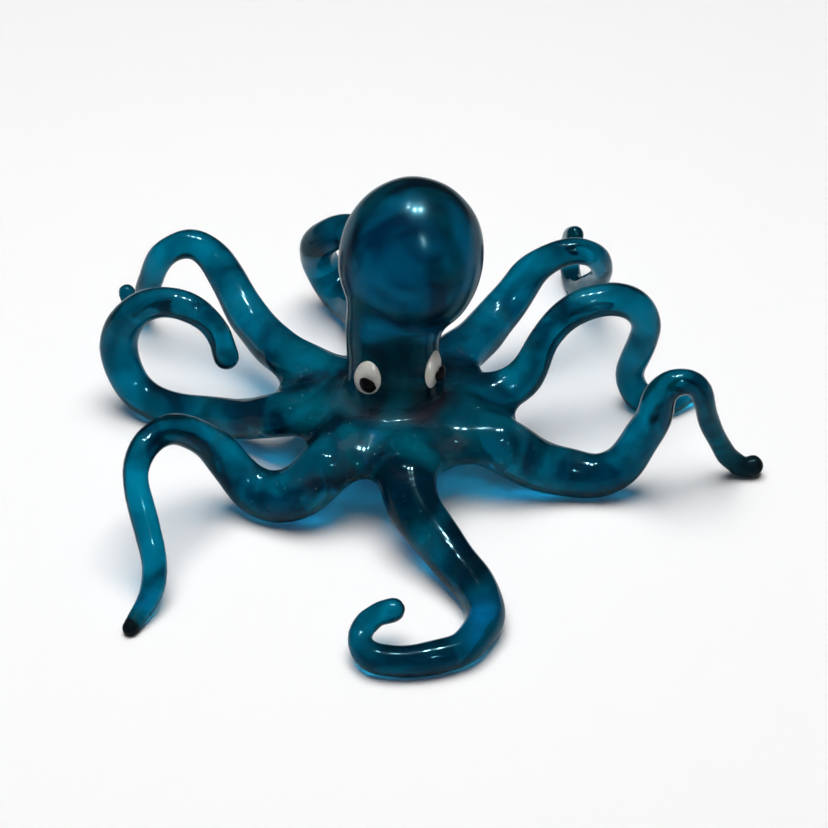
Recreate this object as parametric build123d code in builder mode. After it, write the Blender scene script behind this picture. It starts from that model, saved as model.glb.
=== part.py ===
from build123d import *

import os
from math import ceil, cos, radians, sin, tan

os.makedirs("parts", exist_ok=True)

# Hub that the eight arms and the head are melted on to
hub_rim_inset = 3.0
hub_thickness = 11.0
hub_top_height = 17.0
stub_start_radius = 12.0
stub_flare_share = 1.6
stub_depth_share = 0.95

# Height of the arms' joints, which the arms' own rises and falls follow
arm_joint_radius = 20.0
arm_joint_height = 12.3
ride_height = 12.5

# Head, a neck that leans back into a bulb
neck_radius = 9.2
neck_top_radius = 8.3
neck_height = 22.0
neck_offset_x = -0.7
neck_lean_x = 0.3
neck_lean_y = 4.5
bulb_radius = 13.5
bulb_half_height = 15.3
bulb_centre_height = 24.8
bulb_offset_x = 3.9
bulb_offset_y = 7.5
bulb_tilt_side = 14.0
bulb_tilt_back = 12.0

# Painted enamel eyes
face_bearing = -84.0
eye_spread = 46.5
eye_height = 6.8
eye_radius = 3.0
eye_half_height = 4.25
eye_proud = 1.25
pupil_radius = 1.95
pupil_proud = 0.55
pupil_tilt = 9.0

# Depth that the undersides are ground flat where they stand on the table
foot_flat_depth = 0.3

# Each arm leaves the hub at a bearing and points along its heading there, tilted down or up
front_bearing = -95.0
front_heading = -93.0
front_tilt = -27.0
front_reach = 40.0
front_root_diameter = 11.0

front_left_bearing = -137.0
front_left_heading = -162.0
front_left_tilt = -34.0
front_left_reach = 48.0
front_left_root_diameter = 10.4

left_bearing = 170.0
left_heading = 150.0
left_tilt = -30.0
left_reach = 40.0
left_root_diameter = 8.9

back_left_bearing = 130.0
back_left_heading = 127.0
back_left_tilt = 2.0
back_left_reach = 57.0
back_left_root_diameter = 9.1

back_bearing = 86.0
back_heading = 90.0
back_tilt = -15.0
back_reach = 36.0
back_root_diameter = 9.2

back_right_bearing = 49.0
back_right_heading = 46.0
back_right_tilt = 2.0
back_right_reach = 52.0
back_right_root_diameter = 9.8

right_bearing = 7.0
right_heading = 4.0
right_tilt = 18.0
right_reach = 40.0
right_root_diameter = 8.3

front_right_bearing = -37.0
front_right_heading = -13.0
front_right_tilt = -28.0
front_right_reach = 52.0
front_right_root_diameter = 10.5

# Spacing of the circles that the glass of each arm is stretched over,
# and the angles up its round tip at which the last circles lie
ring_spacing = 2.2
tip_dome_angles = [24.0, 46.0, 66.0, 80.0]

# Points of each arm's route: out along its bearing and across it, as shares of its reach,
# its underside's height over the lowest one's as a share of the ride height,
# and its girth as a share of the root's
front_shares = [
    (0.13, 0.01, 0.45, 0.89),
    (0.24, 0.07, 0.29, 0.83),
    (0.37, 0.15, 0.14, 0.77),
    (0.51, 0.23, 0.05, 0.71),
    (0.65, 0.28, 0.0, 0.66),
    (0.77, 0.28, 0.0, 0.62),
    (0.88, 0.22, 0.0, 0.58),
    (0.95, 0.15, 0.0, 0.55),
    (0.98, 0.06, 0.0, 0.54),
    (1.0, -0.05, 0.0, 0.53),
    (0.99, -0.17, 0.02, 0.5),
    (0.95, -0.25, 0.07, 0.45),
    (0.89, -0.28, 0.16, 0.39),
    (0.83, -0.26, 0.28, 0.36),
    (0.8, -0.2, 0.4, 0.36),
    (0.81, -0.13, 0.49, 0.37),
]
front_left_shares = [
    (0.1, -0.07, 0.21, 0.99),
    (0.14, -0.16, 0.006, 0.91),
    (0.17, -0.259, 0.075, 0.82),
    (0.19, -0.341, 0.418, 0.74),
    (0.24, -0.41, 0.92, 0.64),
    (0.31, -0.44, 1.25, 0.59),
    (0.39, -0.46, 1.48, 0.55),
    (0.48, -0.47, 1.56, 0.51),
    (0.57, -0.46, 1.49, 0.49),
    (0.64, -0.43, 1.29, 0.48),
    (0.68, -0.38, 1.05, 0.48),
    (0.71, -0.33, 0.78, 0.48),
    (0.74, -0.28, 0.54, 0.47),
    (0.78, -0.23, 0.33, 0.45),
    (0.83, -0.2, 0.17, 0.41),
    (0.89, -0.18, 0.08, 0.37),
    (0.95, -0.17, 0.03, 0.33),
    (1.0, -0.16, 0.0, 0.28),
]
left_shares = [
    (0.12, -0.055, 0.44, 0.95),
    (0.23, -0.122, 0.26, 0.89),
    (0.37, -0.22, 0.1, 0.83),
    (0.53, -0.3, 0.0, 0.81),
    (0.68, -0.36, 0.01, 0.81),
    (0.79, -0.42, 0.14, 0.82),
    (0.86, -0.47, 0.44, 0.84),
    (0.88, -0.51, 0.82, 0.84),
    (0.84, -0.51, 1.22, 0.81),
    (0.76, -0.49, 1.57, 0.74),
    (0.66, -0.46, 1.78, 0.69),
    (0.56, -0.43, 1.83, 0.66),
    (0.47, -0.41, 1.73, 0.62),
    (0.4, -0.4, 1.52, 0.58),
    (0.36, -0.39, 1.26, 0.54),
    (0.34, -0.38, 0.99, 0.55),
]
back_left_shares = [
    (0.11, 0.0, 0.66, 1.0),
    (0.3, -0.04, 0.69, 0.95),
    (0.45, -0.08, 0.99, 0.87),
    (0.54, -0.1, 1.36, 0.8),
    (0.6, -0.09, 1.65, 0.73),
    (0.65, -0.06, 1.8, 0.66),
    (0.7, -0.02, 1.75, 0.62),
    (0.75, 0.01, 1.49, 0.6),
    (0.79, 0.02, 1.1, 0.58),
    (0.84, 0.0, 0.7, 0.54),
    (0.89, -0.03, 0.32, 0.5),
    (0.93, -0.05, 0.07, 0.46),
    (0.965, -0.065, 0.0, 0.43),
    (1.0, -0.075, 0.05, 0.4),
    (1.035, -0.08, 0.2, 0.38),
]
back_shares = [
    (0.44, 0.05, 0.38, 0.97),
    (0.7, 0.1, 0.18, 0.94),
    (0.875, 0.17, 0.09, 0.9),
    (0.97, 0.235, 0.22, 0.87),
    (1.01, 0.285, 0.5, 0.85),
    (0.985, 0.315, 0.79, 0.82),
    (0.93, 0.32, 1.05, 0.8),
    (0.87, 0.3, 1.3, 0.77),
    (0.8, 0.24, 1.55, 0.74),
    (0.76, 0.16, 1.703, 0.7),
    (0.74, 0.07, 1.705, 0.66),
    (0.74, -0.001, 1.542, 0.63),
    (0.76, -0.05, 1.27, 0.6),
]
back_right_shares = [
    (0.19, -0.02, 0.68, 0.93),
    (0.31, -0.03, 0.85, 0.86),
    (0.4, -0.06, 1.16, 0.78),
    (0.46, -0.09, 1.48, 0.7),
    (0.51, -0.15, 1.73, 0.62),
    (0.56, -0.22, 1.85, 0.56),
    (0.62, -0.27, 1.74, 0.51),
    (0.68, -0.28, 1.42, 0.48),
    (0.78, -0.22, 0.86, 0.46),
    (0.88, -0.12, 0.35, 0.46),
    (0.94, -0.06, 0.1, 0.46),
    (1.0, 0.0, 0.0, 0.46),
    (1.05, 0.04, 0.12, 0.44),
    (1.07, 0.055, 0.38, 0.43),
    (1.05, 0.04, 0.68, 0.42),
    (1.0, 0.01, 0.93, 0.4),
    (0.94, -0.03, 1.14, 0.39),
]
right_shares = [
    (0.11, 0.0, 0.84, 0.88),
    (0.18, 0.02, 1.13, 0.78),
    (0.23, 0.045, 1.43, 0.74),
    (0.3, 0.065, 1.69, 0.74),
    (0.39, 0.078, 1.87, 0.76),
    (0.5, 0.08, 1.96, 0.78),
    (0.6, 0.075, 1.96, 0.78),
    (0.69, 0.067, 1.87, 0.75),
    (0.75, 0.062, 1.69, 0.72),
    (0.78, 0.064, 1.44, 0.7),
    (0.775, 0.082, 1.12, 0.69),
    (0.76, 0.11, 0.82, 0.7),
    (0.746, 0.136, 0.53, 0.7),
    (0.745, 0.14, 0.271, 0.7),
    (0.763, 0.109, 0.084, 0.7),
    (0.795, 0.056, 0.004, 0.68),
    (0.85, 0.02, 0.0, 0.66),
    (0.92, 0.02, 0.01, 0.62),
    (0.99, 0.04, 0.04, 0.6),
    (1.04, 0.055, 0.09, 0.59),
]
front_right_shares = [
    (0.15, 0.08, 0.12, 0.95),
    (0.25, 0.13, 0.01, 0.88),
    (0.35, 0.17, 0.03, 0.8),
    (0.42, 0.21, 0.24, 0.74),
    (0.47, 0.25, 0.7, 0.69),
    (0.511, 0.271, 1.18, 0.63),
    (0.521, 0.275, 1.491, 0.58),
    (0.545, 0.29, 1.721, 0.53),
    (0.586, 0.316, 1.823, 0.49),
    (0.632, 0.346, 1.755, 0.45),
    (0.654, 0.363, 1.56, 0.42),
    (0.664, 0.385, 1.27, 0.39),
    (0.68, 0.42, 0.87, 0.38),
    (0.71, 0.46, 0.44, 0.38),
    (0.752, 0.492, 0.13, 0.38),
    (0.783, 0.511, 0.01, 0.38),
    (0.813, 0.53, 0.04, 0.38),
]


def direction(bearing, tilt=0):
    """Unit direction of a bearing in plan, tilted up from level."""
    flat = cos(radians(tilt))
    return Vector(cos(radians(bearing)) * flat, sin(radians(bearing)) * flat, sin(radians(tilt)))


def facing(origin, along):
    """Plane that faces along a direction, with its X axis level."""
    return Plane(origin=origin, x_dir=Vector(0, 0, 1).cross(along).normalized(), z_dir=along)


def rings_along(line, centres, radii):
    """Planes and radii of circles spaced along a line that runs through the centres."""
    chords = [(there - here).length for here, there in zip(centres, centres[1:])]
    stations = [sum(chords[:index]) / sum(chords) for index in range(len(centres))]
    count = max(ceil(line.length / ring_spacing), len(centres))
    across = facing(line @ 0, line % 0).x_dir
    rings = []
    for step in range(count + 1):
        share = step / count
        span = max(index for index in range(len(chords)) if stations[index] <= share)
        part = (share - stations[span]) / (stations[span + 1] - stations[span])
        along = line % share
        across = (across - along * across.dot(along)).normalized()
        plane = Plane(origin=line @ share, x_dir=across, z_dir=along)
        rings.append((plane, radii[span] + (radii[span + 1] - radii[span]) * part))
    return rings


def dome_over(plane, radius):
    """Planes and radii of circles that round off an end of a given radius on a plane."""
    rings = []
    for angle in tip_dome_angles:
        centre = plane.origin + plane.z_dir * radius * sin(radians(angle))
        level = Plane(origin=centre, x_dir=plane.x_dir, z_dir=plane.z_dir)
        rings.append((level, radius * cos(radians(angle))))
    return rings


class Arm:
    """One arm: where it leaves the hub, and the circles of its glass from there to its tip."""

    def __init__(self, name, bearing, heading, tilt, reach, root_diameter, shares):
        self.name = name
        self.bearing = bearing
        self.root_diameter = root_diameter
        self.start = direction(heading, tilt)
        self.joint = direction(bearing) * arm_joint_radius + Vector(0, 0, arm_joint_height)
        out = direction(bearing)
        across = Vector(0, 0, 1).cross(out)
        self.centres = [self.joint]
        self.radii = [root_diameter / 2]
        for out_share, across_share, under_share, girth_share in shares:
            radius = girth_share * root_diameter / 2
            plan = self.joint + out * (out_share * reach) + across * (across_share * reach)
            height = under_share * ride_height + radius - foot_flat_depth
            self.centres.append(Vector(plan.X, plan.Y, height))
            self.radii.append(radius)
        self.finish = (self.centres[-1] - self.centres[-2]).normalized()


arms = [
    Arm("arm_front", front_bearing, front_heading, front_tilt,
        front_reach, front_root_diameter, front_shares),
    Arm("arm_front_left", front_left_bearing, front_left_heading, front_left_tilt,
        front_left_reach, front_left_root_diameter, front_left_shares),
    Arm("arm_left", left_bearing, left_heading, left_tilt,
        left_reach, left_root_diameter, left_shares),
    Arm("arm_back_left", back_left_bearing, back_left_heading, back_left_tilt,
        back_left_reach, back_left_root_diameter, back_left_shares),
    Arm("arm_back", back_bearing, back_heading, back_tilt,
        back_reach, back_root_diameter, back_shares),
    Arm("arm_back_right", back_right_bearing, back_right_heading, back_right_tilt,
        back_right_reach, back_right_root_diameter, back_right_shares),
    Arm("arm_right", right_bearing, right_heading, right_tilt,
        right_reach, right_root_diameter, right_shares),
    Arm("arm_front_right", front_right_bearing, front_right_heading, front_right_tilt,
        front_right_reach, front_right_root_diameter, front_right_shares),
]
pieces = []

# Arms, each a drawn rod that tapers along its route to a melted round tip and stands on a ground flat
for arm in arms:
    with BuildLine() as centre_line:
        line = Spline(*arm.centres, tangents=[arm.start, arm.finish])
    rings = rings_along(line, arm.centres, arm.radii)
    with BuildPart() as rod:
        for plane, radius in rings + dome_over(*rings[-1]):
            with BuildSketch(plane):
                Circle(radius)
        loft()
        split(bisect_by=Plane.XY, keep=Keep.TOP)
    rod.part.label = arm.name
    pieces.append(rod.part)

# Hub, a thick round cake with a rounded rim and a wide oval stub that narrows from it to each arm
hub_radius = arm_joint_radius - hub_rim_inset
rim_radius = hub_thickness / 2
hub_bottom_height = hub_top_height - hub_thickness
hub_middle_height = hub_top_height - rim_radius
with BuildPart() as body_hub:
    with BuildSketch(Plane.XZ):
        with BuildLine():
            Line((0, hub_top_height), (0, hub_bottom_height))
            Line((0, hub_bottom_height), (hub_radius - rim_radius, hub_bottom_height))
            CenterArc((hub_radius - rim_radius, hub_middle_height), rim_radius, -90, 180)
            Line((hub_radius - rim_radius, hub_top_height), (0, hub_top_height))
        make_face()
    revolve(axis=Axis.Z)
    for arm in arms:
        outward = direction(arm.bearing)
        with BuildSketch(facing(outward * stub_start_radius + Vector(0, 0, hub_middle_height), outward)):
            Ellipse(arm.root_diameter * stub_flare_share / 2, rim_radius * stub_depth_share)
        with BuildSketch(facing(arm.joint, arm.start)):
            Circle(arm.radii[0])
        loft()
body_hub.part.label = "body_hub"
pieces.append(body_hub.part)

# Head, a round neck seated flat on the hub and leaning back into an egg-shaped bulb
neck_seat = Vector(neck_offset_x, 0, hub_top_height)
neck_lean = Vector(neck_lean_x, neck_lean_y, neck_height)
bulb_centre = Vector(bulb_offset_x, bulb_offset_y, hub_top_height + bulb_centre_height)
bulb_axis = Vector(tan(radians(bulb_tilt_side)), tan(radians(bulb_tilt_back)), 1).normalized()
with BuildPart() as mantle:
    with BuildSketch(Plane(origin=neck_seat)):
        Circle(neck_radius)
    with BuildSketch(Plane(origin=neck_seat + neck_lean)):
        Circle(neck_top_radius)
    loft()
    bulb_plane = Plane(origin=bulb_centre, x_dir=bulb_axis, z_dir=bulb_axis.cross(Vector(0, 1, 0)))
    with BuildSketch(bulb_plane):
        with BuildLine():
            EllipticalCenterArc((0, 0), bulb_half_height, bulb_radius, start_angle=0, arc_size=180)
            Line((-bulb_half_height, 0), (bulb_half_height, 0))
        make_face()
    revolve(axis=Axis(bulb_centre, bulb_axis))
mantle.part.label = "mantle"
pieces.append(mantle.part)

# Eyes, an oval white blob with a round black blob low on it, either side of the face
eye_share = eye_height / neck_height
neck_at_eye = neck_seat + neck_lean * eye_share
radius_at_eye = neck_radius + (neck_top_radius - neck_radius) * eye_share
for side, sign in (("left", -1), ("right", 1)):
    outward = direction(face_bearing + sign * eye_spread)
    eye_centre = neck_at_eye + outward * (radius_at_eye + eye_proud - eye_radius)
    with BuildPart() as eye_blob:
        with BuildSketch(Plane(origin=eye_centre, x_dir=outward, z_dir=outward.cross(Vector(0, 0, 1)))):
            with BuildLine():
                EllipticalCenterArc((0, 0), eye_radius, eye_half_height, start_angle=-90, arc_size=180)
                Line((0, eye_half_height), (0, -eye_half_height))
            make_face()
        revolve(axis=Axis(eye_centre, Vector(0, 0, 1)))
    with BuildPart() as eye_white:
        add(eye_blob.part)
        add(mantle.part, mode=Mode.SUBTRACT)
    eye_white.part.label = "eye_white_" + side
    pieces.append(eye_white.part)

    gaze = direction(face_bearing + sign * eye_spread, pupil_tilt)
    pupil_centre = eye_centre + gaze * (eye_radius + pupil_proud - pupil_radius)
    with BuildPart() as pupil:
        with Locations(pupil_centre):
            Sphere(pupil_radius)
        add(eye_blob.part, mode=Mode.SUBTRACT)
    pupil.part.label = "pupil_" + side
    pieces.append(pupil.part)

# The part's origin is on the table, under the middle of the figure's length and width
extents = [piece.bounding_box() for piece in pieces]
middle_x = (min(extent.min.X for extent in extents) + max(extent.max.X for extent in extents)) / 2
middle_y = (min(extent.min.Y for extent in extents) + max(extent.max.Y for extent in extents)) / 2
to_origin = Location((-middle_x, -middle_y, 0))
for piece in pieces:
    piece.move(to_origin)
    export_step(piece, "parts/" + piece.label + ".step")
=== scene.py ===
import math

import bmesh
import bpy
import numpy as np
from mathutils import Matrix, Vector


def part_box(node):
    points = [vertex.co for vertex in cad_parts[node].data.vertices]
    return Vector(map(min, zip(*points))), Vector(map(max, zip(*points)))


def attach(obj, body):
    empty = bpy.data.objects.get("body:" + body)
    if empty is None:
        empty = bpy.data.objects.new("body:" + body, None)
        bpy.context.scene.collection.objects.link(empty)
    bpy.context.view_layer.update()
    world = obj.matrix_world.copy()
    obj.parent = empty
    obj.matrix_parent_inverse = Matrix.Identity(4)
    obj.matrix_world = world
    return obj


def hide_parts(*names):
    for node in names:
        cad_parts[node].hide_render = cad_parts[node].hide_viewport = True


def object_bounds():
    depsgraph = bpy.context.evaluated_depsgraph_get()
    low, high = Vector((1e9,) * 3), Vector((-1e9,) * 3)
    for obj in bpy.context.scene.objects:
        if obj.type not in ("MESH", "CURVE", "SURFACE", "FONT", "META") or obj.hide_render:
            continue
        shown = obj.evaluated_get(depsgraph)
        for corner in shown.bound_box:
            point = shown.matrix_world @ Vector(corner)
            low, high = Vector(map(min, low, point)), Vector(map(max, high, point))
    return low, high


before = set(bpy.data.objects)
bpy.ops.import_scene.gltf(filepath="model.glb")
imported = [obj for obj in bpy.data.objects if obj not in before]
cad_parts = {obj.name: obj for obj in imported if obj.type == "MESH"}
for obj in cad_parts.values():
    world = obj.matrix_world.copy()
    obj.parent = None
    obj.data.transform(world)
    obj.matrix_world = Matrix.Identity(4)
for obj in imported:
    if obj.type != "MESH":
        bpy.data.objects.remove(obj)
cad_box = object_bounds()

import openvdb
from mathutils import Matrix, Vector, noise

MM = 0.001
GLASS_NODES = ["body_hub", "arm_front", "arm_front_left", "arm_left", "arm_back_left",
               "arm_back", "arm_back_right", "arm_right", "arm_front_right"]

# Grid that keeps the distances to the glass: its spacing, finer than the smallest gap in the arms'
# curls, and the cells on each side of a surface where distances are known
CELL = 0.55 * MM
REACH = 13

# Glass drawn into the corners between the arms, as radii: at the sides and back, and at the front,
# where one gives way to the other over this much in front of the hub's middle
SIDE_WEB, FRONT_WEB = 4.9 * MM, 2.5 * MM
FRONT_START, FRONT_FULL = 7.0 * MM, 13.0 * MM

# Distances from the hub's middle where that glass, and the melting below, start to fade, and end
WEB_INNER, WEB_OUTER = 25.0 * MM, 32.0 * MM

# Hub and head, melted on to each other: how far the hub's lumps are averaged out, what that takes
# off its size, and the radii where the neck swells into the bulb and where the head sits on the hub
HUB_MELT, HUB_SHRINK = 1.2 * MM, 0.1 * MM
HEAD_BLEND, HEAD_SEAT = 3.5 * MM, 1.4 * MM
BELL_WIDTHS = 2.5       # widths of the averaging's bell curve that count

# Slow thick and thin places left by the hand: spacing and height
HAND_WAVE, HAND_SWELL = 7.0 * MM, 0.25 * MM

# Relaxing of a mesh: share of the way to the neighbours' middle and, by turns, a little more of it
# back, which keeps the size
RELAX_PUSH, RELAX_PULL = 0.52, -0.54
SKIN_TURNS, DOT_TURNS = 12, 4

# The film in the crease at the neck: how far it goes to each side, how strong it is in the crease,
# and the power of its fall with distance
SEAM_REACH = 4.5 * MM
SEAM_STAIN = 0.85
SEAM_FADE = 1.5

# From the hub's middle: where the arms' fainter marks start to fade, and end
ROOT_START, ROOT_END = 18.0 * MM, 56.0 * MM

# Above the hub: where the bulb's softer shine starts, and how much higher it is full
BULB_START, BULB_FADE = 6.0 * MM, 12.0 * MM

# Painted shade on two arms' feet, near black where they lie low on the table: how far it reaches, and its
# strength, past 1 where it stays full for a while
FOOT_SHADE_REACH = {"arm_front_right": 26.0 * MM, "arm_front_left": 5.5 * MM}
FOOT_SHADE_STRENGTH = {"arm_front_right": 1.05, "arm_front_left": 1.9}

# Patterns in the glass, by the distance from one mark to the next, with the depth of those in relief
PULLED_WAVE, PULLED_DEPTH = 7.0 * MM, 0.5 * MM
RIPPLE, RIPPLE_DEPTH = 1.6 * MM, 0.2 * MM
# The stirred patches are partly the melt's colour and partly painted light and painted shade
STIRRED_AND_SHADE_PATCH = 12.0 * MM
# Brown patches near the hub: partly a flame film, partly painted reflection of the room on the arms
FILM_AND_REFLECTION_PATCH = 9.0 * MM
ASH_SPECK = 1.9 * MM

# Moves the stirred pattern so that its paler and deeper patches fall where the glass is seen lighter and
# darker, partly from its stirred colour and partly as painted light and painted shade
STIRRED_AND_SHADE_AT = (-55.6 * MM, -311.9 * MM, -257.6 * MM)

# Levels of the patterns, which run from 0 to 1, where a mark starts and is full, and its share there
DEEP_BELOW, PALE_ABOVE = 0.4, 0.6
FILM_AND_REFLECTION_START, FILM_AND_REFLECTION_FULL, FILM_AND_REFLECTION_SHARE = 0.52, 0.66, 0.6
SPECK_FULL, SPECK_END, SPECK_SHARE = 0.07, 0.11, 0.75
HAZE_START, HAZE_FULL, HAZE_SHARE = 0.5, 1.0, 0.2

# Deepest and palest teal of the glass, which the stirred patches also use as painted shade and painted light
DEEP_TEAL, PALE_TEAL = "#00536C", "#00C6E4"
# The black is painted shade at two feet, where they lie low on the table
# The brown is a flame film that near the hub also stands for painted reflections of the room
FILM_AND_REFLECTION_BROWN, ASH_GREY, FOOT_SHADE_BLACK = "#5A4244", "#93A5A8", "#182226"

# What the glass's inner and outer reflections are dimmed to
INNER_MIRROR, OUTER_MIRROR = "#3F7F8B", "#CCD8DC"

# Share of light let through where the glass is clean and where a mark covers it
CLEAN_GLASS, COVERED_GLASS = 0.88, 0.2

# Roughness of the drawn arms and of the bulb
ARM_ROUGHNESS, BULB_ROUGHNESS = 0.1, 0.24

# Shares of red, green and blue that the glass doesn't take, and its strength for each metre: red is
# down to a third after 2.3 mm, green after 15 mm and blue after 22 mm
DEPTH_TINT = (0.0, 0.846, 0.895, 1.0)
DEPTH_TAKEN = 430.0

# Enamel: colour and specular level of the whites and pupils, spacing of the mottle, and depth of the pits
EYE_WHITE, WHITE_GLOSS = "#D8D6CE", 0.5
EYE_BLACK, BLACK_GLOSS = "#08080A", 0.06
ENAMEL_MOTTLE, ENAMEL_PITS = 1.2 * MM, 0.1 * MM

# Paper and room: the paper's own colour, what it looks like lit, and the room that the glass mirrors
PAPER, LIT_PAPER, DIM_ROOM = "#FAFAFA", "#F8F8F8", "#434345"

# Distances from the figure where the lamps' light on the paper starts to fall off, and is gone
LAMPS_END, BACKDROP_START = 100 * MM, 450 * MM


def from_hex(code):
    """Linear colour of an sRGB hex value, by the sRGB standard's own curve."""
    channels = [int(code[i:i + 2], 16) / 255 for i in (1, 3, 5)]
    linear = [c / 12.92 if c <= 0.04045 else ((c + 0.055) / 1.055) ** 2.4 for c in channels]
    return (*linear, 1.0)


def add_node(tree, kind, settings=None, inputs=None, links=None):
    """One node with its settings, its inputs' values, and its links from other nodes' outputs."""
    node = tree.nodes.new(kind)
    for name, value in (settings or {}).items():
        setattr(node, name, value)
    for name, value in (inputs or {}).items():
        node.inputs[name].default_value = value
    for name, (source, output) in (links or {}).items():
        tree.links.new(source.outputs[output], node.inputs[name])
    return node


def new_material(name):
    material = bpy.data.materials.new(name)
    material.use_nodes = True
    material.node_tree.nodes.clear()
    return material, material.node_tree


# Distances to the melted pieces on one grid, so that they run into each other

transform = openvdb.createLinearTransform(voxelSize=CELL)
low = np.array(cad_box[0]) - REACH * CELL
high = np.array(cad_box[1]) + REACH * CELL
grid_start = np.floor(low / CELL).astype(int)
grid_corner = tuple(int(v) for v in grid_start)
grid_shape = tuple(np.ceil(high / CELL).astype(int) - grid_start + 1)


def distances(points, triangles):
    """Signed distance to a closed surface at each grid point, in metres, kept within the reach."""
    grid = openvdb.FloatGrid.createLevelSetFromPolygons(
        points.astype(np.float32), triangles=triangles.astype(np.uint32),
        transform=transform, halfWidth=REACH)
    field = np.full(grid_shape, REACH * CELL, np.float32)
    grid.copyToArray(field, ijk=grid_corner)
    return field


def surface(field, level=0.0):
    """Points of the surface where the distance has a value, the whole surface in triangles, and its quads."""
    grid = openvdb.FloatGrid(REACH * CELL)
    grid.copyFromArray(field, ijk=grid_corner, tolerance=0.0)
    grid.transform = transform
    points, triangles, quads = grid.convertToPolygons(isovalue=level, adaptivity=0.0)
    halves = np.vstack([quads[:, [0, 1, 2]], quads[:, [0, 2, 3]]])
    return points, np.vstack([triangles, halves]), quads


def node_distances(name):
    """Distances to a CAD node, read from its loose triangles."""
    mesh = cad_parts[name].data
    points = np.empty(len(mesh.vertices) * 3, np.float32)
    mesh.vertices.foreach_get("co", points)
    mesh.calc_loop_triangles()
    corners = np.empty(len(mesh.loop_triangles) * 3, np.int32)
    mesh.loop_triangles.foreach_get("vertices", corners)
    return distances(points.reshape(-1, 3), corners.reshape(-1, 3))


def fill_corners(field, radius):
    """The same solid with its inner corners rounded to a radius: grown by it, then shrunk by it."""
    points, triangles, _ = surface(field, radius)
    return np.minimum(distances(points, triangles) + radius, field)


def soften(field, width):
    """The distances averaged over their neighbourhood, which melts lumps and creases into each other."""
    reach = int(math.ceil(BELL_WIDTHS * width / CELL))
    shares = np.exp(-0.5 * (np.arange(-reach, reach + 1) * CELL / width) ** 2)
    shares /= shares.sum()
    for axis in range(3):
        margins = [(reach, reach) if side == axis else (0, 0) for side in range(3)]
        wide = np.pad(field, margins, mode="edge")
        cells = field.shape[axis]
        field = sum(share * np.take(wide, range(i, i + cells), axis)
                    for i, share in enumerate(shares.astype(np.float32)))
    return field


def read_field(field, points):
    """The distance at each point, between the grid's own values."""
    spots = points / CELL - grid_start
    corner = np.clip(np.floor(spots).astype(int), 0, np.array(field.shape) - 2)
    part = spots - corner
    total = np.zeros(len(points))
    for step in np.ndindex(2, 2, 2):
        weight = np.prod(np.where(step, part, 1 - part), axis=1)
        total += weight * field[tuple((corner + step).T)]
    return total


def relax(points, faces, turns):
    """Points moved to their neighbours' middle and back again by turns, which takes out ripples, not size."""
    around = faces.shape[1]
    sides = np.vstack([faces[:, [i, (i + 1) % around]] for i in range(around)])
    starts, ends = sides[:, 0], sides[:, 1]
    total = len(points)
    neighbours = np.bincount(starts, minlength=total) + np.bincount(ends, minlength=total)
    for turn in range(turns * 2):
        middles = np.zeros_like(points)
        for axis in range(3):
            middles[:, axis] = (np.bincount(starts, points[ends, axis], total)
                                + np.bincount(ends, points[starts, axis], total))
        middles /= neighbours[:, None]
        points = points + (middles - points) * (RELAX_PUSH if turn % 2 == 0 else RELAX_PULL)
    return points


def closed_piece(name, points, faces, material):
    """A smooth closed mesh object at the origin, its faces turned outwards."""
    mesh = bpy.data.meshes.new(name)
    mesh.from_pydata(points.tolist(), [], faces.tolist())
    shape = bmesh.new()
    shape.from_mesh(mesh)
    bmesh.ops.recalc_face_normals(shape, faces=shape.faces)
    shape.to_mesh(mesh)
    shape.free()
    mesh.shade_smooth()
    mesh.materials.append(material)
    piece = bpy.data.objects.new(name, mesh)
    bpy.context.scene.collection.objects.link(piece)
    return piece


# Materials


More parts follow.
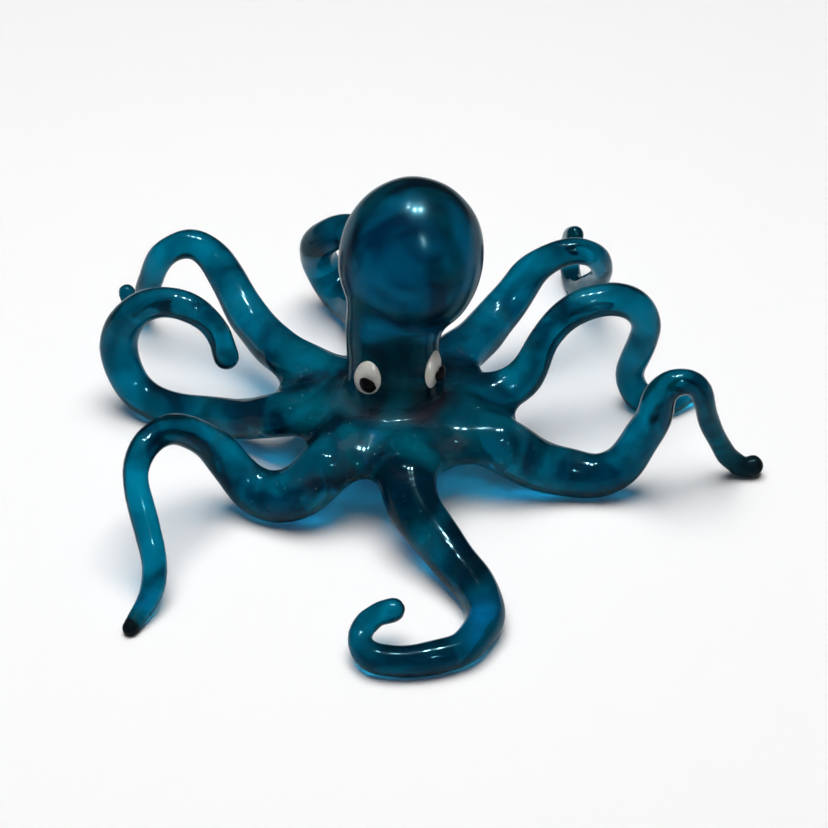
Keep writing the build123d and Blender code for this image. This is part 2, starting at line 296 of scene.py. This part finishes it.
def drawn_teal_glass():
    """Solid teal soft glass, drawn into rod and melted in a flame. It is clear and glossy to the eye,
    with slow waves where it was pulled and a softer shine on the bulb, paler and deeper in patches that
    are partly where the melt was stirred and partly painted light and painted shade, and near black at
    its edges, where it shows the dim room. The flame left a thin brown film in the crease at the neck
    and in patches near the hub, which on the arms also stand for painted reflections of the room, ash in
    pinpricks and a faint milkiness in the thick hub. Two feet are painted near black, as painted shade
    where they lie low on the table."""
    material, tree = new_material("drawn_teal_glass")
    place = add_node(tree, "ShaderNodeTexCoord")
    bulb, seam, root, foot_shade = (add_node(tree, "ShaderNodeAttribute", {"attribute_name": name})
                              for name in ("bulb", "seam", "root", "foot_shade"))

    # The skin: slow waves and fine ripples
    wave = add_node(tree, "ShaderNodeTexNoise", None,
                    {"Scale": 1 / PULLED_WAVE, "Detail": 1.0, "Roughness": 0.4},
                    {"Vector": (place, "Object")})
    pulled = add_node(tree, "ShaderNodeBump", None,
                      {"Strength": 0.3, "Distance": PULLED_DEPTH}, {"Height": (wave, "Fac")})
    ripple = add_node(tree, "ShaderNodeTexNoise", None,
                      {"Scale": 1 / RIPPLE, "Detail": 2.0, "Roughness": 0.5},
                      {"Vector": (place, "Object")})
    skin = add_node(tree, "ShaderNodeBump", None, {"Strength": 0.025, "Distance": RIPPLE_DEPTH},
                    {"Height": (ripple, "Fac"), "Normal": (pulled, "Normal")})

    # The melt's colour, paler and deeper in patches that are partly stirred into it and partly painted light
    # and painted shade
    stirred_and_shaded = add_node(tree, "ShaderNodeMapping", None,
                       {"Location": Vector(STIRRED_AND_SHADE_AT)}, {"Vector": (place, "Object")})
    melt_and_shade = add_node(tree, "ShaderNodeTexNoise", None,
                    {"Scale": 1 / STIRRED_AND_SHADE_PATCH, "Detail": 2.5, "Roughness": 0.55, "Distortion": 0.6},
                    {"Vector": (stirred_and_shaded, "Vector")})
    teal = add_node(tree, "ShaderNodeValToRGB", None, None, {"Fac": (melt_and_shade, "Fac")})
    deep, pale = teal.color_ramp.elements
    deep.position, deep.color = DEEP_BELOW, from_hex(DEEP_TEAL)
    pale.position, pale.color = PALE_ABOVE, from_hex(PALE_TEAL)

    # The flame's marks over it: a brown film, which on the arms near the hub also stands for painted
    # reflections of the room, ash, and near black painted shade at two feet
    breath_and_reflection = add_node(tree, "ShaderNodeTexNoise", None,
                      {"Scale": 1 / FILM_AND_REFLECTION_PATCH, "Detail": 3.0, "Roughness": 0.6},
                      {"Vector": (place, "Object")})
    # Patches near the hub, partly film and partly painted reflection of the room
    film_and_reflection_patches = add_node(tree, "ShaderNodeMapRange", None,
                       {"From Min": FILM_AND_REFLECTION_START, "From Max": FILM_AND_REFLECTION_FULL, "To Min": 0.0, "To Max": FILM_AND_REFLECTION_SHARE},
                       {"Value": (breath_and_reflection, "Fac")})
    film_and_reflection = add_node(tree, "ShaderNodeMath", {"operation": "MULTIPLY_ADD"}, None,
                    {0: (film_and_reflection_patches, "Result"), 1: (root, "Fac"), 2: (seam, "Fac")})
    fired_and_reflected = add_node(tree, "ShaderNodeMixRGB", None, {"Color2": from_hex(FILM_AND_REFLECTION_BROWN)},
                     {"Fac": (film_and_reflection, "Value"), "Color1": (teal, "Color")})
    specks = add_node(tree, "ShaderNodeTexVoronoi", None, {"Scale": 1 / ASH_SPECK},
                      {"Vector": (place, "Object")})
    pinprick = add_node(tree, "ShaderNodeMapRange", None,
                        {"From Min": SPECK_FULL, "From Max": SPECK_END, "To Min": SPECK_SHARE, "To Max": 0.0},
                        {"Value": (specks, "Distance")})
    ash = add_node(tree, "ShaderNodeMath", {"operation": "MULTIPLY"}, None,
                   {0: (pinprick, "Result"), 1: (root, "Fac")})
    dusted = add_node(tree, "ShaderNodeMixRGB", None, {"Color2": from_hex(ASH_GREY)},
                      {"Fac": (ash, "Value"), "Color1": (fired_and_reflected, "Color")})
    # Painted shade at two feet, near black
    foot_shaded = add_node(tree, "ShaderNodeMixRGB", None, {"Color2": from_hex(FOOT_SHADE_BLACK)},
                      {"Fac": (foot_shade, "Fac"), "Color1": (dusted, "Color")})

    # How clear the glass stays: the strongest of its marks decides
    haze = add_node(tree, "ShaderNodeMapRange", None,
                    {"From Min": HAZE_START, "From Max": HAZE_FULL, "To Min": 0.0, "To Max": HAZE_SHARE},
                    {"Value": (root, "Fac")})
    strongest = add_node(tree, "ShaderNodeMath", {"operation": "MAXIMUM"}, None,
                         {0: (film_and_reflection, "Value"), 1: (ash, "Value")})
    for cover in ((haze, "Result"), (foot_shade, "Fac")):
        strongest = add_node(tree, "ShaderNodeMath", {"operation": "MAXIMUM"}, None,
                             {0: (strongest, "Value"), 1: cover})
    clear = add_node(tree, "ShaderNodeMapRange", None,
                     {"From Min": 0.0, "From Max": 1.0, "To Min": CLEAN_GLASS, "To Max": COVERED_GLASS},
                     {"Value": (strongest, "Value")})
    softness = add_node(tree, "ShaderNodeMapRange", None,
                        {"From Min": 0.0, "From Max": 1.0, "To Min": ARM_ROUGHNESS, "To Max": BULB_ROUGHNESS},
                        {"Value": (bulb, "Fac")})

    # The coat's faint mirror shows the lamps and little of the floor, which keeps the edges dark
    glass = add_node(tree, "ShaderNodeBsdfPrincipled", None,
                     {"IOR": 1.51, "Specular IOR Level": 0.0, "Specular Tint": from_hex(INNER_MIRROR),
                      "Coat Weight": 1.0, "Coat Roughness": 0.13, "Coat IOR": 1.06,
                      "Coat Tint": from_hex(OUTER_MIRROR)},
                     {"Base Color": (foot_shaded, "Color"), "Transmission Weight": (clear, "Result"),
                      "Roughness": (softness, "Result"),
                      "Normal": (skin, "Normal"), "Coat Normal": (skin, "Normal")})
    depth = add_node(tree, "ShaderNodeVolumeAbsorption", None,
                     {"Color": DEPTH_TINT, "Density": DEPTH_TAKEN})
    add_node(tree, "ShaderNodeOutputMaterial", None, None,
             {"Surface": (glass, "BSDF"), "Volume": (depth, "Volume")})
    return material


def enamel_glass(name, code, gloss):
    """Opaque enamel glass dotted on hot: glossy, slightly uneven, with a faint mottle where it cooled."""
    material, tree = new_material(name)
    place = add_node(tree, "ShaderNodeTexCoord")
    mottle = add_node(tree, "ShaderNodeTexNoise", None,
                      {"Scale": 1 / ENAMEL_MOTTLE, "Detail": 3.0}, {"Vector": (place, "Object")})
    tone = add_node(tree, "ShaderNodeMixRGB", {"blend_type": "MULTIPLY"},
                    {"Fac": 0.25, "Color1": from_hex(code)}, {"Color2": (mottle, "Color")})
    pits = add_node(tree, "ShaderNodeBump", None,
                    {"Strength": 0.15, "Distance": ENAMEL_PITS}, {"Height": (mottle, "Fac")})
    enamel = add_node(tree, "ShaderNodeBsdfPrincipled", None,
                      {"Roughness": 0.3, "IOR": 1.5, "Specular IOR Level": gloss},
                      {"Base Color": (tone, "Color"), "Normal": (pits, "Normal")})
    add_node(tree, "ShaderNodeOutputMaterial", None, None, {"Surface": (enamel, "BSDF")})
    return material


def white_studio_paper():
    """Matt white studio paper: even, with no grain to see at this distance. Far from the lamps the
    camera sees it as white as it is under them."""
    material, tree = new_material("white_studio_paper")
    paper = add_node(tree, "ShaderNodeBsdfPrincipled", None,
                     {"Base Color": from_hex(PAPER), "Roughness": 0.9, "Specular IOR Level": 0.1})
    place = add_node(tree, "ShaderNodeTexCoord")
    distance = add_node(tree, "ShaderNodeVectorMath", {"operation": "LENGTH"}, None,
                        {"Vector": (place, "Object")})
    far = add_node(tree, "ShaderNodeMapRange", {"interpolation_type": "SMOOTHSTEP"},
                   {"From Min": LAMPS_END, "From Max": BACKDROP_START}, {"Value": (distance, "Value")})
    ray = add_node(tree, "ShaderNodeLightPath")
    shown = add_node(tree, "ShaderNodeMath", {"operation": "MULTIPLY"}, None,
                     {0: (far, "Result"), 1: (ray, "Is Camera Ray")})
    lit = add_node(tree, "ShaderNodeEmission", None, {"Color": from_hex(LIT_PAPER), "Strength": 1.0})
    floor = add_node(tree, "ShaderNodeMixShader", None, None,
                     {0: (shown, "Value"), 1: (paper, "BSDF"), 2: (lit, "Emission")})
    add_node(tree, "ShaderNodeOutputMaterial", None, None, {"Surface": (floor, "Shader")})
    return material


# The melted glass figure: hub and arms with glass drawn into their corners, then the head on top

hub_low, hub_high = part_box("body_hub")
hub_middle = (hub_low + hub_high) / 2
grid_x = (grid_start[0] + np.arange(grid_shape[0])) * CELL
grid_y = (grid_start[1] + np.arange(grid_shape[1])) * CELL
from_middle = np.hypot(grid_x[:, None] - hub_middle.x, grid_y[None, :] - hub_middle.y)
near_hub = np.clip((WEB_OUTER - from_middle) / (WEB_OUTER - WEB_INNER), 0, 1)[:, :, None]
in_front = hub_middle.y - grid_y[None, :, None]
front_share = np.clip((in_front - FRONT_START) / (FRONT_FULL - FRONT_START), 0, 1)

figure = node_distances(GLASS_NODES[0])
for name in GLASS_NODES[1:]:
    figure = np.minimum(figure, node_distances(name))
side_webbed, front_webbed = fill_corners(figure, SIDE_WEB), fill_corners(figure, FRONT_WEB)
webbed = side_webbed * (1 - front_share) + front_webbed * front_share
figure = figure + (webbed - figure) * near_hub
arms_and_hub = figure + (soften(figure, HUB_MELT) - HUB_SHRINK - figure) * near_hub
head = fill_corners(node_distances("mantle"), HEAD_BLEND)
figure = np.minimum(arms_and_hub, head)
figure = figure + (fill_corners(figure, HEAD_SEAT) - figure) * near_hub
points, _, quads = surface(figure)

points = relax(points.astype(float), quads, SKIN_TURNS)
glass_figure = closed_piece("glass_figure", points, quads, drawn_teal_glass())
normals = np.empty(points.size, np.float32)
glass_figure.data.vertices.foreach_get("normal", normals)
swell = np.array([noise.noise(Vector(point) / HAND_WAVE) for point in points])
points += normals.reshape(-1, 3) * (HAND_SWELL * swell)[:, None]
points = np.clip(points, np.array(cad_box[0]), np.array(cad_box[1]))
glass_figure.data.vertices.foreach_set("co", points.ravel())
glass_figure.data.update()


def mark(name, amount):
    """How strong one of the figure's marks, or the painted shade at its feet, is at each point, from 0 to 1,
    for its material.
    """
    attribute = glass_figure.data.attributes.new(name, "FLOAT", "POINT")
    attribute.data.foreach_set("value", amount.astype(np.float32))


def painted_foot_shade(arm):
    """Painted shade around the arm's foot, the farthest of its points from the hub's middle."""
    corners = np.array([v.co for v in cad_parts[arm].data.vertices])
    foot = corners[np.argmax(np.linalg.norm(corners - np.array(hub_middle), axis=1))]
    away = np.linalg.norm(points - foot, axis=1)
    return np.clip(FOOT_SHADE_STRENGTH[arm] * (1 - away / FOOT_SHADE_REACH[arm]), 0, 1)


to_head = read_field(head, points)
to_seam = np.hypot(to_head, read_field(arms_and_hub, points))
from_hub = np.hypot(points[:, 0] - hub_middle.x, points[:, 1] - hub_middle.y)
below_head = np.clip(to_head / SEAM_REACH, 0, 1)
above_neck = np.clip((points[:, 2] - (hub_high.z + BULB_START)) / BULB_FADE, 0, 1)
# Painted shade at two feet, where they lie low on the table
mark("foot_shade", np.maximum.reduce([painted_foot_shade(arm) for arm in FOOT_SHADE_REACH]))
mark("bulb", (1 - below_head) * above_neck)
mark("seam", SEAM_STAIN * np.clip(1 - to_seam / SEAM_REACH, 0, 1) ** SEAM_FADE)
mark("root", below_head * np.clip((ROOT_END - from_hub) / (ROOT_END - ROOT_START), 0, 1))
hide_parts("mantle", *GLASS_NODES)
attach(glass_figure, "root")

# Hand-dotted eyes: the left white droops into a pear, the right one leans, and each pupil is a full
# round dot

# Spacing of the dots' even mesh, and how near corners of a CAD node's loose triangles are one
DOT_CELL, MERGE_GAP = 0.12 * MM, 0.0005 * MM

# White's height and its width at mid height, as shares of the CAD dot's; what is added to the width
# at the foot and taken off at the top; and how far it goes sideways for each unit of height
WHITE_HEIGHT = {"left": 1.0, "right": 0.9}
WHITE_WIDEN = {"left": 1.06, "right": 1.0}
WHITE_DROOP = {"left": 0.16, "right": 0.0}
WHITE_LEAN = {"left": -0.05, "right": -0.4}

# Moves up and sideways from where the CAD has the dots
WHITE_LIFT = {"left": 0.0, "right": 0.3 * MM}
WHITE_SHIFT = {"left": -0.45 * MM, "right": -0.8 * MM}
PUPIL_SHIFT = {"left": 0.55 * MM, "right": -0.8 * MM}

# Pupil's size, as a share of the CAD dot's, and how far it is set proud of the white
PUPIL_GROW = 1.08
PUPIL_PUSH = 0.42 * MM


def middle(node):
    """Middle of a CAD node's box."""
    return np.array(sum(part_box(node), Vector())) / 2


def even_copy(node):
    """Points and faces of a CAD node's shape as one even, softly rounded mesh."""
    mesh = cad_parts[node].data.copy()
    shape = bmesh.new()
    shape.from_mesh(mesh)
    bmesh.ops.remove_doubles(shape, verts=shape.verts, dist=MERGE_GAP)
    shape.to_mesh(mesh)
    shape.free()
    rough = bpy.data.objects.new(node + "_rough", mesh)
    bpy.context.scene.collection.objects.link(rough)
    even = rough.modifiers.new("even", "REMESH")
    even.mode = "VOXEL"
    even.voxel_size = DOT_CELL
    bpy.context.view_layer.update()
    evaluated = rough.evaluated_get(bpy.context.evaluated_depsgraph_get())
    result = bpy.data.meshes.new_from_object(evaluated)
    bpy.data.objects.remove(rough)
    bpy.data.meshes.remove(mesh)
    co = np.array([v.co for v in result.vertices])
    faces = np.array([list(p.vertices) for p in result.polygons])
    bpy.data.meshes.remove(result)
    return relax(co, faces, DOT_TURNS), faces


def eye_dot(node, co, faces, material):
    piece = closed_piece(node + "_dot", co, faces, material)
    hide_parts(node)
    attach(piece, "root")


white_enamel = enamel_glass("white_enamel_glass", EYE_WHITE, WHITE_GLOSS)
black_enamel = enamel_glass("black_enamel_glass", EYE_BLACK, BLACK_GLOSS)
for side in ("left", "right"):
    white, pupil = "eye_white_" + side, "pupil_" + side
    white_low, white_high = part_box(white)
    white_middle, pupil_middle = middle(white), middle(pupil)
    facing = pupil_middle - white_middle
    facing[2] = 0
    facing /= np.linalg.norm(facing)
    along = np.array([-facing[1], facing[0], 0])

    # The white is made wider towards its foot, leaned, and set where it sits in the photograph
    co, faces = even_copy(white)
    from_centre = co - white_middle
    rise = from_centre[:, 2]
    sideways = from_centre @ along
    droop = WHITE_DROOP[side] * rise / ((white_high.z - white_low.z) / 2)
    placed = sideways * (WHITE_WIDEN[side] - droop) - WHITE_LEAN[side] * rise + WHITE_SHIFT[side]
    co += (placed - sideways)[:, None] * along
    co[:, 2] += rise * (WHITE_HEIGHT[side] - 1) + WHITE_LIFT[side]
    eye_dot(white, co, faces, white_enamel)

    # The pupil is grown a little and set proud of the white, so that its whole edge shows
    co, faces = even_copy(pupil)
    co = pupil_middle + (co - pupil_middle) * PUPIL_GROW + facing * PUPIL_PUSH + along * PUPIL_SHIFT[side]
    eye_dot(pupil, co, faces, black_enamel)

# Table and room: the paper goes on behind the figure as a white wall, for the camera alone

TABLE_HALF = 3000 * MM
TABLE_DROP = 0.02 * MM          # keeps the table's top just clear of the glass
table_mesh = bpy.data.meshes.new("table")
table_corners = [(x * TABLE_HALF, y * TABLE_HALF, -TABLE_DROP)
                 for x, y in ((-1, -1), (1, -1), (1, 1), (-1, 1))]
table_mesh.from_pydata(table_corners, [], [(0, 1, 2, 3)])
table_mesh.materials.append(white_studio_paper())
table = bpy.data.objects.new("table", table_mesh)
bpy.context.scene.collection.objects.link(table)

world = bpy.data.worlds.new("room")
bpy.context.scene.world = world
world.use_nodes = True
world_tree = world.node_tree
world_tree.nodes.clear()
room = add_node(world_tree, "ShaderNodeBackground", None,
                {"Color": from_hex(DIM_ROOM), "Strength": 1.0})
paper_wall = add_node(world_tree, "ShaderNodeBackground", None,
                      {"Color": from_hex(LIT_PAPER), "Strength": 1.0})
ray = add_node(world_tree, "ShaderNodeLightPath")
seen_room = add_node(world_tree, "ShaderNodeMixShader", None, None,
                     {0: (ray, "Is Camera Ray"), 1: (room, "Background"), 2: (paper_wall, "Background")})
add_node(world_tree, "ShaderNodeOutputWorld", None, None, {"Surface": (seen_room, "Shader")})

# Lamps, in metres and watts: a softbox that lights the paper and the enamel, the part of it that is
# also seen through the glass, and small ceiling lamps that only glint on it

LAMP_AIM = Vector((0, 0, 20 * MM))
SOFTBOX = {"place": (-0.03, 0.03, 0.75), "size": 0.6, "power": 4.9}
SOFTBOX_GLOW = {"place": (-0.03, 0.03, 0.76), "size": 0.6, "power": 1.6}
CEILING_LAMPS = [{"place": (0.065, 0.07, 1.15), "size": 0.06, "power": 26.0},
                 {"place": (0.26, 0.06, 1.13), "size": 0.06, "power": 22.0},
                 {"place": (-0.13, 0.23, 1.13), "size": 0.04, "power": 9.0},
                 {"place": (0.27, -0.91, 0.94), "size": 0.1, "power": 7.5}]


def lamp(name, place, size, power, seen, through):
    """A flat lamp that faces the figure. The glass mirrors it if seen, and shows it inside if through."""
    data = bpy.data.lights.new(name, "AREA")
    data.energy = power
    data.size = size
    light = bpy.data.objects.new(name, data)
    light.location = place
    light.rotation_euler = (LAMP_AIM - Vector(place)).to_track_quat("-Z", "Y").to_euler()
    light.visible_glossy = seen
    light.visible_transmission = through
    bpy.context.scene.collection.objects.link(light)
    return light


lamp("overhead_softbox", **SOFTBOX, seen=False, through=False)
lamp("overhead_glow", **SOFTBOX_GLOW, seen=False, through=True)
for ceiling_lamp in CEILING_LAMPS:
    glint = lamp("ceiling_lamp", **ceiling_lamp, seen=True, through=False)
    glint.visible_diffuse = False

# The photograph's camera: turned 10 degrees left of the face and 36 degrees up, and far enough for a
# long lens

VIEW_TURN, VIEW_RISE = math.radians(-10), math.radians(36)
VIEW_DISTANCE = 450 * MM
PIXEL_AT_HUB = 0.19 * MM
IMAGE_SIZE, IMAGE_MIDDLE = 828, 414
HUB_PIXEL_X, HUB_PIXEL_Y = 398, 400
HUB_CENTRE = Vector((-5.94, -1.33, 15)) * MM
SENSOR = 36

back = Vector((math.sin(VIEW_TURN) * math.cos(VIEW_RISE),
               -math.cos(VIEW_TURN) * math.cos(VIEW_RISE),
               math.sin(VIEW_RISE)))
right = Vector((math.cos(VIEW_TURN), math.sin(VIEW_TURN), 0))
up = back.cross(right)
aim = (HUB_CENTRE + right * (IMAGE_MIDDLE - HUB_PIXEL_X) * PIXEL_AT_HUB
       - up * (IMAGE_MIDDLE - HUB_PIXEL_Y) * PIXEL_AT_HUB)
turned = Matrix((right, up, back)).transposed().to_4x4()
camera_data = bpy.data.cameras.new("camera")
camera_data.sensor_width = SENSOR
camera_data.lens = SENSOR * VIEW_DISTANCE / PIXEL_AT_HUB / IMAGE_SIZE
camera = bpy.data.objects.new("camera", camera_data)
camera.matrix_world = Matrix.Translation(aim + back * VIEW_DISTANCE) @ turned
bpy.context.scene.collection.objects.link(camera)
bpy.context.scene.camera = camera
bpy.context.scene.view_settings.view_transform = "Standard"
